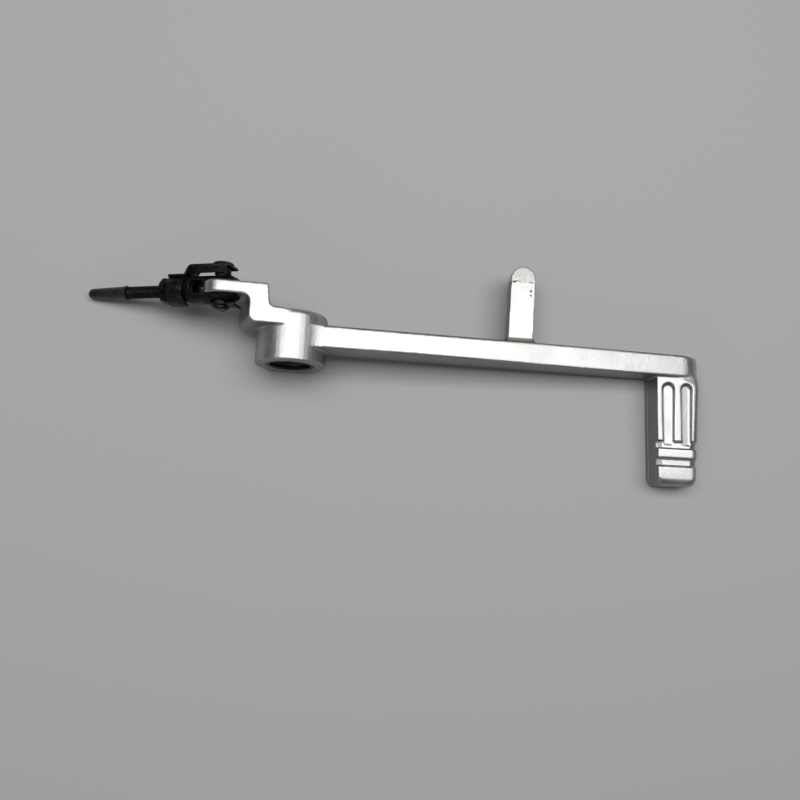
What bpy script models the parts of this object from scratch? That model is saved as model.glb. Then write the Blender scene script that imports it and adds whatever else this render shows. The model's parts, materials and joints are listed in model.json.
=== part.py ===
"""Foot-operated gear shift lever with its clevis, spring clip and adjustable link rod.

The lever lies on its side: +X runs along the arm from the pivot towards the toe peg, +Y along the
pivot axis, +Z up. The origin is under the middle of the whole assembly, on the surface it lies on.
All values are metres.
"""
from math import acos, atan2, cos, pi, sin, sqrt, tan

import bmesh
import bpy
from mathutils import Matrix, Vector

# ---------------------------------------------------------------- driving dimensions
GAP = 0.0003                    # clearance between pieces that touch or fit

BOSS_RADIUS = 0.0150            # pivot boss, turned about Y
BOSS_FRONT = -0.0116            # end face on the toe-peg side
BOSS_REAR = 0.0104              # end face on the stop-tab side
BOSS_FRONT_EDGE = 0.0006
BOSS_REAR_EDGE = 0.0022

BUSH_RADIUS = 0.0100            # outside of the two pressed bushes
BUSH_WALL = 0.0010
SEAL_WIDTH = 0.0018
SEAL_LIP = 0.0012               # how far the lip stands in from the bore wall
GREASE_GAP = 0.0016             # between the two bushes

ARM_WIDTH = 0.0106
ARM_DEPTH = 0.0152
ARM_EDGE = 0.0012               # rounding of the arm's four long edges
ARM_DRAFT = 0.0004              # each side leans in by this from the parting line to the edge
ARM_FLASH = 0.0006              # height of the trimmed flash band along the parting line
ARM_TOP_ROOT = Vector((0.031, 0.0246))      # three points of the arm's top line, X and Z
ARM_TOP_MIDDLE = Vector((0.093, 0.0206))
ARM_TOP_TOE = Vector((0.155, 0.0157))
ARM_END = 0.1851
ARM_ROOT_FILLET = 0.022
ARM_END_RADIUS = 0.0100
ARM_END_LOW = 0.0006            # the arm's end stays this far above the resting surface

TAB_CENTRE = 0.0995             # stop tab, X where it leaves the arm
TAB_WIDTH = 0.0112
TAB_LENGTH = 0.0346             # from the arm's side to the round tip
TAB_THICKNESS = 0.0066
TAB_DROP = 0.0067               # from the arm's top line down to the tab's middle
TAB_EDGE = 0.0018
TAB_ROOT_FILLET = 0.0028
TAB_LEAN = 0.030                # radians, towards the toe end

PEG_START = 0.1630              # X of the peg's flat side
PEG_TOP = 0.0136
PEG_LENGTH = 0.0488             # from the arm's side to the peg's end
PEG_TAPER_FLAT = 0.0008         # how far the flat side leans in at the peg's end
PEG_TAPER_ROUND = 0.0022        # the same for the rounded side
PEG_END_ROUNDING = 0.0028
PEG_ROOT_BLEND = 0.0035         # beyond the arm's side, where the peg has its full height
PEG_CREASE_HEIGHT = 0.0036      # parting line on the peg's flat side
PEG_CREASE = 0.0008             # how far it stands out past the top edge
PEG_FOOT = 0.0005               # and the bottom edge
SLOT_START = 0.0026             # from the arm's side to the round end of the slots
SLOT_DEPTH = 0.0015
SLOT_DRAFT = 0.0007             # the slot's walls lean in by this to its floor
SLOT_WIDTHS = (0.0061, 0.0056)
SLOT_RIBS = (0.0024, 0.0025)    # left of the first slot, between the two
RING_STARTS = (0.0288, 0.0365)  # first groove and second groove, from the arm's side
RING_WIDTH = 0.0036
RING_DEPTH = 0.0012

ARM_PITCH = 0.3002              # offset arm points up by this many radians
PIN_OFFSET = 0.0312             # pivot axis to clevis pin axis
PLATE_CENTRE = 0.0173           # Y of the middle of the eye plate
PLATE_THICKNESS = 0.0054
EYE_RADIUS = 0.0076
NECK_FRONT = 0.0030             # offset arm where it leaves the boss, front and rear faces in Y
RISER_OUTER = 0.0214            # riser faces, measured along the offset arm
RISER_INNER_TOP = 0.0141
RISER_INNER_FOOT = 0.0131
NECK_SLOPE = 0.0010             # the neck's rear face rises by this from the boss to the riser
RISER_FILLET = 0.0030           # inner corner under the eye plate, clear of the fork's ears
OFFSET_EDGE = 0.0006

PIN_RADIUS = 0.0030
EYE_BUSH_WALL = 0.0008
FORK_PITCH = 0.3578             # clevis and rod point down by this many radians
FORK_RADIUS = 0.0060
FORK_TIP = 0.0070               # pin axis to the tips of the ears
FORK_TIP_EDGE = 0.0014          # chamfer of the ears' tips, twice as long as it is deep
NECK_EDGE = 0.0004
SLOT_HALF = PLATE_THICKNESS / 2 + GAP      # the standard 6 mm slot: the eye plate and its gaps
SLOT_BOTTOM = 0.0120            # pin axis to the bottom of the slot
SHOULDER = (0.0128, 0.0152)     # cone from the body down to the neck
NECK_RADIUS = 0.0049
NECK_END = 0.0240

PIN_HEAD_RADIUS = 0.0044
PIN_HEAD_THICKNESS = 0.0008
PIN_COLLAR_RADIUS = 0.0034
PIN_COLLAR_THICKNESS = 0.0026
PIN_WAIST_RADIUS = 0.0023       # where the clip strip is riveted on
GROOVE_RADIUS = 0.0024
PIN_TAIL = 0.0005               # beyond the retaining ring
WASHER_THICKNESS = 0.0008
WASHER_RADIUS = 0.0044
LEAF_REACH = 0.0076             # pin axis to the free end of the washer's bent leaf
LEAF_WIDTH = 0.0070
LEAF_RISE = 0.0005              # how far the leaf's end stands out
RING_THICKNESS = 0.0006
RING_RADIUS = 0.0035

CLIP_THICKNESS = 0.0010
CLIP_WIDTH = 0.0090
CLIP_TAIL = 0.0046              # strip beyond the pin, towards the boss
CLIP_BEND = 0.0136              # pin axis to the bend in the strip
FLANGE_THICKNESS = 0.0007       # stiffening flange along the strip's upper edge
FLANGE_REACH = 0.0029
CLASP_START = 0.0156
CLASP_END = 0.0232
LIP_LENGTH = 0.0006

NUT_ACROSS_FLATS = 0.0100
NUT_THICKNESS = 0.0027
ROD_RADIUS = 0.00285
ROD_THREAD_IN = 0.0145          # where the rod's inner end sits, from the pin axis
ROD_SHOULDER = 0.0446           # where the cap starts
SPIGOT_RADIUS = 0.0015
SPIGOT_LENGTH = 0.0120
CAP_END = 0.0637
CAP_LIP_RADIUS = 0.0031
CAP_LIP_LENGTH = 0.0009
CAP_RADIUS = 0.0028
CAP_NOSE_RADIUS = 0.00232

# ---------------------------------------------------------------- sizes that follow from them
BORE_RADIUS = BUSH_RADIUS + GAP
BUSH_LENGTH = (BOSS_REAR - BOSS_FRONT - 2 * (SEAL_WIDTH + GAP) - GREASE_GAP) / 2
EYE_BORE_RADIUS = PIN_RADIUS + EYE_BUSH_WALL + 2 * GAP
ARM_SIDE = ARM_WIDTH / 2
PEG_END = -ARM_SIDE - PEG_LENGTH
TAB_TIP = ARM_SIDE + TAB_LENGTH
COLLAR_FACE = FORK_RADIUS + GAP
STRIP_FACE = COLLAR_FACE + PIN_COLLAR_THICKNESS + GAP
HEAD_FACE = STRIP_FACE + CLIP_THICKNESS + GAP
WASHER_FACE = FORK_RADIUS + GAP
RING_FACE = WASHER_FACE + WASHER_THICKNESS + GAP
CLASP_INNER = NECK_RADIUS + GAP
NUT_START = NECK_END + GAP

PIN_X = -PIN_OFFSET * cos(ARM_PITCH)
PIN_Z = BOSS_RADIUS + PIN_OFFSET * sin(ARM_PITCH)
TIP_X = PIN_X - (CAP_END - CAP_NOSE_RADIUS) * cos(FORK_PITCH) - CAP_NOSE_RADIUS
ORIGIN = Vector(((TIP_X + ARM_END) / 2, (PEG_END + TAB_TIP) / 2, 0))

ROUND_STEPS = 48                # facets of the large turned pieces
SMALL_STEPS = 24


# ---------------------------------------------------------------- scene and helpers
def clear_scene():
    for item in list(bpy.data.objects):
        bpy.data.objects.remove(item, do_unlink=True)


def collection(name):
    made = bpy.data.collections.new(name)
    bpy.context.scene.collection.children.link(made)
    return made


def material(name, colour, roughness, metallic):
    made = bpy.data.materials.new(name)
    made.use_nodes = True
    shader = made.node_tree.nodes["Principled BSDF"]
    shader.inputs["Base Color"].default_value = (*colour, 1)
    shader.inputs["Roughness"].default_value = roughness
    shader.inputs["Metallic"].default_value = metallic
    return made


def part(name, mesh, parent, look):
    """A kept piece: its own object and material, placed by its parent empty."""
    made = bpy.data.objects.new(name, mesh)
    PARTS.objects.link(made)
    made.parent = parent
    made.data.materials.clear()
    made.data.materials.append(look)
    made.data.shade_smooth()
    made.data.set_sharp_from_angle(angle=0.6)
    return made


def cutter(name, mesh, parent):
    made = bpy.data.objects.new(name, mesh)
    CUTTERS.objects.link(made)
    made.parent = parent
    made.hide_render = True
    made.display_type = "WIRE"
    return made


def boolean(target, tool, operation):
    step = target.modifiers.new(tool.name, "BOOLEAN")
    step.operation = operation
    step.solver = "EXACT"
    step.object = tool


def empty(name, parent, location, rotation):
    made = bpy.data.objects.new(name, None)
    PARTS.objects.link(made)
    made.parent = parent
    made.location = location
    made.rotation_euler = rotation
    return made


def face_outwards(work):
    bmesh.ops.recalc_face_normals(work, faces=work.faces)
    if work.calc_volume(signed=True) < 0:
        bmesh.ops.reverse_faces(work, faces=work.faces)


def baked(source):
    """The evaluated mesh of a helper object, which is then removed."""
    bpy.context.view_layer.update()
    evaluated = source.evaluated_get(bpy.context.evaluated_depsgraph_get())
    mesh = bpy.data.meshes.new_from_object(evaluated)
    bpy.data.objects.remove(source, do_unlink=True)
    work = bmesh.new()
    work.from_mesh(mesh)
    bmesh.ops.remove_doubles(work, verts=work.verts, dist=1e-6)
    face_outwards(work)
    work.to_mesh(mesh)
    work.free()
    return mesh


def turned(name, profile, closed=False, steps=ROUND_STEPS):
    """A profile of (radius, along) points turned about the local X axis."""
    mesh = bpy.data.meshes.new(name)
    edges = [(i, i + 1) for i in range(len(profile) - 1)]
    if closed:
        edges.append((len(profile) - 1, 0))
    mesh.from_pydata([(radius, 0, along) for radius, along in profile], edges, [])
    helper = bpy.data.objects.new(name, mesh)
    CUTTERS.objects.link(helper)
    screw = helper.modifiers.new("turn", "SCREW")
    screw.axis = "Z"
    screw.steps = steps
    screw.render_steps = steps
    screw.use_merge_vertices = True
    screw.merge_threshold = 1e-6
    made = baked(helper)
    made.transform(Matrix(((0, 0, 1, 0), (1, 0, 0, 0), (0, 1, 0, 0), (0, 0, 0, 1))))
    return made


def plate(name, outline, thickness):
    """A closed outline in local X and Y, extruded by half the thickness each way along Z."""
    curve = bpy.data.curves.new(name, "CURVE")
    curve.dimensions = "2D"
    curve.fill_mode = "BOTH"
    curve.extrude = thickness / 2
    spline = curve.splines.new("POLY")
    spline.points.add(len(outline) - 1)
    for point, place in zip(spline.points, outline):
        point.co = (place[0], place[1], 0, 1)
    spline.use_cyclic_u = True
    helper = bpy.data.objects.new(name, curve)
    CUTTERS.objects.link(helper)
    return baked(helper)


def bevelled(mesh, width, segments, angle=0.6):
    helper = bpy.data.objects.new(mesh.name, mesh)
    CUTTERS.objects.link(helper)
    step = helper.modifiers.new("edges", "BEVEL")
    step.width = width
    step.segments = segments
    step.limit_method = "ANGLE"
    step.angle_limit = angle
    return baked(helper)


def moved(mesh, matrix):
    mesh.transform(matrix)
    return mesh


def arc(centre, radius, start, end, count):
    """Points on an arc, both ends included; angles in radians."""
    return [(centre[0] + radius * cos(start + (end - start) * i / count),
             centre[1] + radius * sin(start + (end - start) * i / count)) for i in range(count + 1)]


def rounded(corners, count=4):
    """An outline from (x, y, radius) corners, each replaced by an arc of its radius."""
    outline = []
    for i, (x, y, radius) in enumerate(corners):
        here = Vector((x, y))
        if radius == 0:
            outline.append((x, y))
            continue
        before = (Vector(corners[i - 1][:2]) - here).normalized()
        after = (Vector(corners[(i + 1) % len(corners)][:2]) - here).normalized()
        half = acos(max(-1.0, min(1.0, before.dot(after)))) / 2
        centre = here + (before + after).normalized() * (radius / sin(half))
        first = here + before * (radius / tan(half)) - centre
        last = here + after * (radius / tan(half)) - centre
        start = atan2(first.y, first.x)
        turn = (atan2(last.y, last.x) - start + pi) % (2 * pi) - pi
        outline += arc(centre, radius, start, start + turn, count)
    return outline


def through_three(first, second, third):
    """The parabola through three (x, z) points, as a function of x."""
    def height(x):
        total = 0
        for a, b, c in ((first, second, third), (second, first, third), (third, first, second)):
            total += a.y * (x - b.x) * (x - c.x) / ((a.x - b.x) * (a.x - c.x))
        return total
    return height


# Side profiles are drawn in X and Z and extruded along Y.
ON_SIDE = Matrix.Rotation(pi / 2, 4, "X")
# Turned pieces run along local X; this turns them to run along Y.
ALONG_Y = Matrix.Rotation(pi / 2, 4, "Z")


# ---------------------------------------------------------------- lever casting
def boss_mesh():
    front, rear = BOSS_FRONT, BOSS_REAR
    corner_rear = arc((BOSS_RADIUS - BOSS_REAR_EDGE, rear - BOSS_REAR_EDGE), BOSS_REAR_EDGE,
                      pi / 2, 0, 4)
    corner_front = arc((BOSS_RADIUS - BOSS_FRONT_EDGE, front + BOSS_FRONT_EDGE), BOSS_FRONT_EDGE,
                       0, -pi / 2, 2)
    profile = [(0, rear)] + corner_rear + corner_front + [(0, front)]
    return moved(turned("boss", profile), ALONG_Y)


def arm_mesh():
    """The long arm: top line, rounded end, bottom line, and a concave root into the boss."""
    top = through_three(ARM_TOP_ROOT, ARM_TOP_MIDDLE, ARM_TOP_TOE)
    slope = (top(ARM_TOP_ROOT.x) - top(0)) / ARM_TOP_ROOT.x
    # Fillet between the boss circle and the top line's tangent at the root.
    lift = ARM_ROOT_FILLET * sqrt(1 + slope * slope) + top(0) - BOSS_RADIUS
    a = 1 + slope * slope
    b = 2 * slope * lift
    c = lift * lift - (BOSS_RADIUS + ARM_ROOT_FILLET) ** 2
    x = (-b + sqrt(b * b - 4 * a * c)) / (2 * a)
    centre = Vector((x, BOSS_RADIUS + lift + slope * x))
    towards_boss = atan2(BOSS_RADIUS - centre.y, -centre.x)
    fillet = arc(centre, ARM_ROOT_FILLET, towards_boss, atan2(-1, slope), 6)
    last = fillet[-1][0]
    stations = [last + (ARM_END - ARM_END_RADIUS - last) * i / 9 for i in range(1, 10)]
    upper = [(s, top(s)) for s in stations]
    corners = arc((ARM_END - ARM_END_RADIUS, top(stations[-1]) - ARM_END_RADIUS), ARM_END_RADIUS,
                  pi / 2, 0, 6)
    foot = [(ARM_END, ARM_END_RADIUS * 0.3), (ARM_END - ARM_END_RADIUS / 4, ARM_END_LOW)]
    lower_start = [(PEG_START + 0.002, ARM_END_LOW)]
    lower = [(s, max(top(s) - ARM_DEPTH, ARM_END_LOW)) for s in reversed(stations[:-2])]
    inside = BOSS_RADIUS * 0.27
    root = [(last, top(last) - ARM_DEPTH), (inside, BOSS_RADIUS * 0.6), (inside, BOSS_RADIUS * 1.8)]
    outline = fillet + upper[:-1] + corners + foot + lower_start + lower + root
    mesh = moved(plate("arm", outline, ARM_WIDTH), ON_SIDE)
    # Each side leans in from the parting line at mid depth to the top and bottom edges.
    rise = (ARM_TOP_TOE - ARM_TOP_ROOT).normalized()
    pitch = -atan2(rise.y, rise.x)
    middle = Vector((ARM_TOP_MIDDLE.x, 0, ARM_TOP_MIDDLE.y - ARM_DEPTH / 2))
    lean = atan2(ARM_DRAFT, ARM_DEPTH / 2)
    work = bmesh.new()
    work.from_mesh(mesh)
    long_edges = [edge for edge in work.edges if edge.calc_face_angle(0) > 0.9
                  and min(vertex.co.x for vertex in edge.verts) > BOSS_RADIUS * 0.8]
    bmesh.ops.bevel(work, geom=long_edges, offset=ARM_EDGE, segments=2, profile=0.5, affect="EDGES")
    for side in (-1, 1):
        for half in (-1, 1):
            normal = Vector((0, side * cos(lean), half * sin(lean)))
            normal.rotate(Matrix.Rotation(pitch, 3, "Y"))
            point = middle + Vector((0, side * ARM_SIDE, half * ARM_FLASH / 2))
            cut = bmesh.ops.bisect_plane(work, geom=work.verts[:] + work.edges[:] + work.faces[:],
                                         plane_co=point, plane_no=normal, clear_outer=True)
            rim = [item for item in cut["geom_cut"] if isinstance(item, bmesh.types.BMEdge)]
            bmesh.ops.contextual_create(work, geom=rim)
    bmesh.ops.dissolve_limit(work, angle_limit=0.002, verts=work.verts, edges=work.edges)
    face_outwards(work)
    work.to_mesh(mesh)
    work.free()
    return mesh


def tab_mesh():
    """Stop tab: a round-ended plate with a filleted root, centred on the arm's parting line."""
    half = TAB_WIDTH / 2
    root = TAB_ROOT_FILLET
    outline = [(half + root, -ARM_SIDE * 0.6)]
    outline += arc((half + root, root), root, -pi / 2, -pi, 4)
    outline += arc((0, TAB_LENGTH - half), half, 0, pi, 12)
    outline += arc((-half - root, root), root, 0, -pi / 2, 4)
    outline += [(-half - root, -ARM_SIDE * 0.6)]
    mesh = bevelled(plate("tab", outline, TAB_THICKNESS), TAB_EDGE, 3, 1.2)
    top = through_three(ARM_TOP_ROOT, ARM_TOP_MIDDLE, ARM_TOP_TOE)
    height = top(TAB_CENTRE) - TAB_DROP
    return moved(mesh, Matrix.Translation((TAB_CENTRE, ARM_SIDE, height))
                 @ Matrix.Rotation(-TAB_LEAN, 4, "Z"))


def peg_mesh():
    """Toe peg: flat side, flat top, rounded far side, drawn across Y and tapered to its end."""
    right = ARM_END - GAP
    outline = rounded([
        (PEG_START, PEG_TOP, 0),
        (right - 0.0012, PEG_TOP, 0.0036),
        (right, PEG_TOP * 0.42, 0.0040),
        (right - 0.0022, 0, 0.0036),
        (PEG_START - PEG_FOOT, 0, 0),
        (PEG_START - PEG_CREASE, PEG_CREASE_HEIGHT, 0),
    ])
    length = ARM_SIDE + PEG_LENGTH
    mesh = moved(plate("peg", outline, length), Matrix.Translation((0, -length / 2, 0)) @ ON_SIDE)
    for vertex in mesh.vertices:
        if vertex.co.y < PEG_END / 2:
            share = (vertex.co.x - PEG_START) / (right - PEG_START)
            vertex.co.x += PEG_TAPER_FLAT * (1 - share) - PEG_TAPER_ROUND * share
            vertex.co.z = PEG_TOP / 2 + (vertex.co.z - PEG_TOP / 2) * 0.96 - 0.0002
    work = bmesh.new()
    work.from_mesh(mesh)
    bmesh.ops.dissolve_limit(work, angle_limit=0.01, verts=work.verts, edges=work.edges)
    end_face = min(work.faces, key=lambda face: face.calc_center_median().y)
    bmesh.ops.bevel(work, geom=list(end_face.edges), offset=PEG_END_ROUNDING, segments=3,
                    profile=0.5, affect="EDGES", clamp_overlap=False)
    # Inside the arm the peg's top follows the arm's rounded end.
    bmesh.ops.bisect_plane(work, geom=work.verts[:] + work.edges[:] + work.faces[:],
                           plane_co=(0, -ARM_SIDE - PEG_ROOT_BLEND, 0), plane_no=(0, 1, 0))
    for vertex in work.verts:
        if vertex.co.y > -GAP:
            past = max(0, vertex.co.x - ARM_END + ARM_END_RADIUS)
            drop = ARM_END_RADIUS - sqrt(ARM_END_RADIUS ** 2 - past ** 2)
            vertex.co.z *= 1 - drop / PEG_TOP
    bmesh.ops.triangulate(work, faces=work.faces)
    face_outwards(work)
    work.to_mesh(mesh)
    work.free()
    return mesh


def slot_cutters(parent):
    """Two long slots in the top of the peg, round at the arm end, open into the first groove."""
    made = []
    edge = PEG_START
    for i, (rib, width) in enumerate(zip(SLOT_RIBS, SLOT_WIDTHS)):
        middle = edge + rib + width / 2
        edge += rib + width
        near = -ARM_SIDE - SLOT_START - width / 2
        far = -ARM_SIDE - RING_STARTS[0] - RING_WIDTH / 2
        outline = arc((0, near), width / 2, pi, 0, 10) + [(width / 2 - 0.0003, far),
                                                         (-width / 2 + 0.0003, far)]
        tilt = (0, 0.10)[i]
        mesh = plate("slot", outline, 2 * SLOT_DEPTH)
        for vertex in mesh.vertices:
            share = 1 + (SLOT_DRAFT if vertex.co.z > 0 else -SLOT_DRAFT) * 2 / width
            vertex.co.x *= share
            vertex.co.y = near + max(0, vertex.co.y - near) * share + min(0, vertex.co.y - near)
        moved(mesh, Matrix.Translation((middle, 0, PEG_TOP)) @ Matrix.Rotation(tilt, 4, "Y"))
        made.append(cutter("slot_cutter_%d" % (i + 1), mesh, parent))
    return made


def ring_cutters(parent):
    """Two grooves across the top: shallow in the middle, deeper where they run out at the sides."""
    made = []
    floor = PEG_TOP - RING_DEPTH
    left, right = PEG_START, ARM_END - PEG_TAPER_ROUND
    for i, start in enumerate(RING_STARTS):
        outline = [
            (left - 0.002, floor - 0.0030), (left + 0.0008, floor - 0.0016), (left + 0.0032, floor),
            (right - 0.0042, floor), (right - 0.0018, floor - 0.0012),
            (right + 0.0030, floor - 0.0075), (right + 0.0030, PEG_TOP + 0.002),
            (left - 0.002, PEG_TOP + 0.002)]
        centre = -ARM_SIDE - start - RING_WIDTH / 2
        mesh = moved(plate("ring", outline, RING_WIDTH), Matrix.Translation((0, centre, 0)) @ ON_SIDE)
        made.append(cutter("ring_cutter_%d" % (i + 1), mesh, parent))
    return made


def offset_arm_mesh():
    """The short cranked arm: its plan outline cut to the side profile of two tangent circles."""
    rear = BOSS_REAR - OFFSET_EDGE
    low, high = PLATE_CENTRE - PLATE_THICKNESS / 2, PLATE_CENTRE + PLATE_THICKNESS / 2
    end = PIN_OFFSET + EYE_RADIUS + 0.001
    plan = rounded([
        (0.002, NECK_FRONT, 0), (RISER_OUTER, NECK_FRONT, 0.0031), (RISER_OUTER, low, RISER_FILLET),
        (end, low, 0), (end, high, 0), (RISER_INNER_TOP, high, 0.0005),
        (RISER_INNER_FOOT, rear + NECK_SLOPE, 0.0022), (0.002, rear, 0)])
    # Local X along the arm and local Z across it; Y is mirrored by the frame it is placed in.
    body = plate("offset_plan", [(x, -y) for x, y in plan], 3 * BOSS_RADIUS)
    big, small = BOSS_RADIUS - GAP, EYE_RADIUS
    spread = acos((big - small) / PIN_OFFSET)
    side = arc((0, 0), big, spread, 2 * pi - spread, 24)
    side += arc((PIN_OFFSET, 0), small, -spread, spread, 12)
    profile = moved(plate("offset_side", side, 4 * PLATE_CENTRE), ON_SIDE)
    helper = bpy.data.objects.new("offset_arm", body)
    CUTTERS.objects.link(helper)
    tool = cutter("offset_side_tool", profile, None)
    boolean(helper, tool, "INTERSECT")
    mesh = baked(helper)
    bpy.data.objects.remove(tool, do_unlink=True)
    work = bmesh.new()
    work.from_mesh(mesh)
    bmesh.ops.dissolve_limit(work, angle_limit=0.01, verts=work.verts, edges=work.edges)
    work.to_mesh(mesh)
    work.free()
    return bevelled(mesh, OFFSET_EDGE, 1, 1.0)


def cylinder(name, radius, start, end, steps=SMALL_STEPS):
    """A plain cylinder along local X."""
    mesh = bpy.data.meshes.new(name)
    work = bmesh.new()
    bmesh.ops.create_cone(work, cap_ends=True, segments=steps, radius1=radius, radius2=radius,
                          depth=end - start)
    work.to_mesh(mesh)
    work.free()
    mesh.transform(Matrix.Translation(((start + end) / 2, 0, 0)) @ Matrix.Rotation(pi / 2, 4, "Y"))
    return mesh


def build_casting(pivot, arm_frame):
    casting = part("lever_casting", boss_mesh(), pivot, BRIGHT)
    lowered = Matrix.Translation((0, 0, -BOSS_RADIUS))
    for name, mesh in (("arm_solid", arm_mesh()), ("tab_solid", tab_mesh()), ("peg_solid", peg_mesh())):
        boolean(casting, cutter(name, moved(mesh, lowered), pivot), "UNION")
    boolean(casting, cutter("offset_arm_solid", offset_arm_mesh(), arm_frame), "UNION")
    for tool in slot_cutters(pivot) + ring_cutters(pivot):
        tool.data.transform(lowered)
        boolean(casting, tool, "DIFFERENCE")
    bore = moved(cylinder("bore", BORE_RADIUS, 2 * BOSS_FRONT, 2 * BOSS_REAR, ROUND_STEPS), ALONG_Y)
    boolean(casting, cutter("pivot_bore", bore, pivot), "DIFFERENCE")
    reach = 2 * PLATE_CENTRE
    eye = moved(cylinder("eye", EYE_BORE_RADIUS, PLATE_CENTRE - PLATE_THICKNESS, reach), ALONG_Y)
    eye.transform(Matrix.Translation((PIN_X, 0, PIN_Z - BOSS_RADIUS)))
    boolean(casting, cutter("eye_bore", eye, pivot), "DIFFERENCE")


# ---------------------------------------------------------------- pivot bushes and seals
def tube_profile(inner, outer, start, end, edge=0.0):
    """Closed profile of a plain ring, outer side first from its far end."""
    return [(outer - edge, end), (outer, end - edge), (outer, start + edge), (outer - edge, start),
            (inner, start), (inner, end)]


def seal_profile(start, end, outside):
    """Metal-cased seal: square body with a lip that leans towards the outside face."""
    lip = BUSH_RADIUS - SEAL_LIP
    body = BUSH_RADIUS - SEAL_LIP * 0.45
    if outside == end:
        return [(BUSH_RADIUS, end), (BUSH_RADIUS, start), (body, start), (lip, end - SEAL_WIDTH * 0.45),
                (lip, end - SEAL_WIDTH * 0.2), (body, end - SEAL_WIDTH * 0.2), (body + 0.0002, end)]
    return [(BUSH_RADIUS, end), (BUSH_RADIUS, start), (body + 0.0002, start),
            (body, start + SEAL_WIDTH * 0.2), (lip, start + SEAL_WIDTH * 0.2),
            (lip, start + SEAL_WIDTH * 0.45), (body, end)]


def build_pivot_pieces(pivot):
    inner = BUSH_RADIUS - BUSH_WALL
    front_bush = BOSS_FRONT + SEAL_WIDTH + GAP
    rear_bush = BOSS_REAR - SEAL_WIDTH - GAP - BUSH_LENGTH
    for name, start in (("front_pivot_bush", front_bush), ("rear_pivot_bush", rear_bush)):
        profile = tube_profile(inner, BUSH_RADIUS, start, start + BUSH_LENGTH)
        part(name, moved(turned(name, profile, True), ALONG_Y), pivot, BUSHING)
    front = seal_profile(BOSS_FRONT, BOSS_FRONT + SEAL_WIDTH, BOSS_FRONT)
    rear = seal_profile(BOSS_REAR - SEAL_WIDTH, BOSS_REAR, BOSS_REAR)
    for name, profile in (("front_dust_seal", front), ("rear_dust_seal", rear)):
        part(name, moved(turned(name, profile, True), ALONG_Y), pivot, SEALING)


def build_eye_bush(arm_frame):
    start = -PLATE_CENTRE - PLATE_THICKNESS / 2
    profile = tube_profile(PIN_RADIUS + GAP, PIN_RADIUS + GAP + EYE_BUSH_WALL, start,
                           start + PLATE_THICKNESS)
    mesh = moved(turned("eye_bush", profile, True, SMALL_STEPS), ALONG_Y)
    part("eye_bush", moved(mesh, Matrix.Translation((PIN_OFFSET, 0, 0))), arm_frame, BUSHING)


# ---------------------------------------------------------------- clevis, pin and clip
# In the fork's frame X runs from the pin axis along the rod, Y towards the toe-peg side, Z up.
def build_fork(fork_frame):
    edge = FORK_TIP_EDGE
    profile = [(0, NECK_END), (NECK_RADIUS - NECK_EDGE, NECK_END), (NECK_RADIUS, NECK_END - NECK_EDGE),
               (NECK_RADIUS, SHOULDER[1]), (FORK_RADIUS, SHOULDER[0]),
               (FORK_RADIUS, -FORK_TIP + 2 * edge), (FORK_RADIUS - edge, -FORK_TIP), (0, -FORK_TIP)]
    fork = part("clevis_fork", turned("clevis_fork", profile, steps=36), fork_frame, BLACKENED)
    length = SLOT_BOTTOM + 2 * FORK_TIP
    slot = bpy.data.meshes.new("fork_slot")
    work = bmesh.new()
    bmesh.ops.create_cube(work, size=1, matrix=Matrix.Translation((SLOT_BOTTOM - length / 2, 0, 0))
                          @ Matrix.Diagonal((length, 2 * SLOT_HALF, 3 * FORK_RADIUS, 1)))
    work.to_mesh(slot)
    work.free()
    boolean(fork, cutter("fork_slot", slot, fork_frame), "DIFFERENCE")
    hole = moved(cylinder("fork_pin_hole", PIN_RADIUS + GAP, -2 * FORK_RADIUS, 2 * FORK_RADIUS), ALONG_Y)
    boolean(fork, cutter("fork_pin_hole", hole, fork_frame), "DIFFERENCE")
    thread = cylinder("fork_thread", ROD_RADIUS + GAP, SLOT_BOTTOM - 0.001, NECK_END + 0.001)
    boolean(fork, cutter("fork_thread", thread, fork_frame), "DIFFERENCE")


def build_pin(fork_frame):
    """Riveted head, waist through the strip, collar, shank, ring groove and tail, along -Y."""
    top = HEAD_FACE + PIN_HEAD_THICKNESS
    tail = RING_FACE + RING_THICKNESS + GAP + PIN_TAIL
    edge = 0.0004
    profile = [
        (0, top), (PIN_HEAD_RADIUS - edge, top), (PIN_HEAD_RADIUS, top - edge),
        (PIN_HEAD_RADIUS, HEAD_FACE), (PIN_WAIST_RADIUS, HEAD_FACE),
        (PIN_WAIST_RADIUS, STRIP_FACE - GAP), (PIN_COLLAR_RADIUS, STRIP_FACE - GAP),
        (PIN_COLLAR_RADIUS, COLLAR_FACE), (PIN_RADIUS, COLLAR_FACE),
        (PIN_RADIUS, -RING_FACE + GAP), (GROOVE_RADIUS, -RING_FACE + GAP),
        (GROOVE_RADIUS, -RING_FACE - RING_THICKNESS - GAP), (PIN_RADIUS, -RING_FACE - RING_THICKNESS - GAP),
        (PIN_RADIUS, -tail + edge), (PIN_RADIUS - edge, -tail), (0, -tail)]
    mesh = turned("clevis_pin", profile, steps=SMALL_STEPS)
    # The head is on the stop-tab side, which is -Y in the fork's frame.
    part("clevis_pin", moved(mesh, Matrix.Rotation(-pi / 2, 4, "Z")), fork_frame, DARK_STEEL)


def ribbon(centres, thickness):
    """A closed outline that keeps half the thickness to each side of an open line of points."""
    left, right = [], []
    for i, here in enumerate(centres):
        before = centres[max(i - 1, 0)]
        after = centres[min(i + 1, len(centres) - 1)]
        along = Vector((after[0] - before[0], after[1] - before[1])).normalized()
        across = Vector((-along.y, along.x)) * thickness / 2
        left.append((here[0] + across.x, here[1] + across.y))
        right.append((here[0] - across.x, here[1] - across.y))
    return left + right[::-1]


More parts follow.
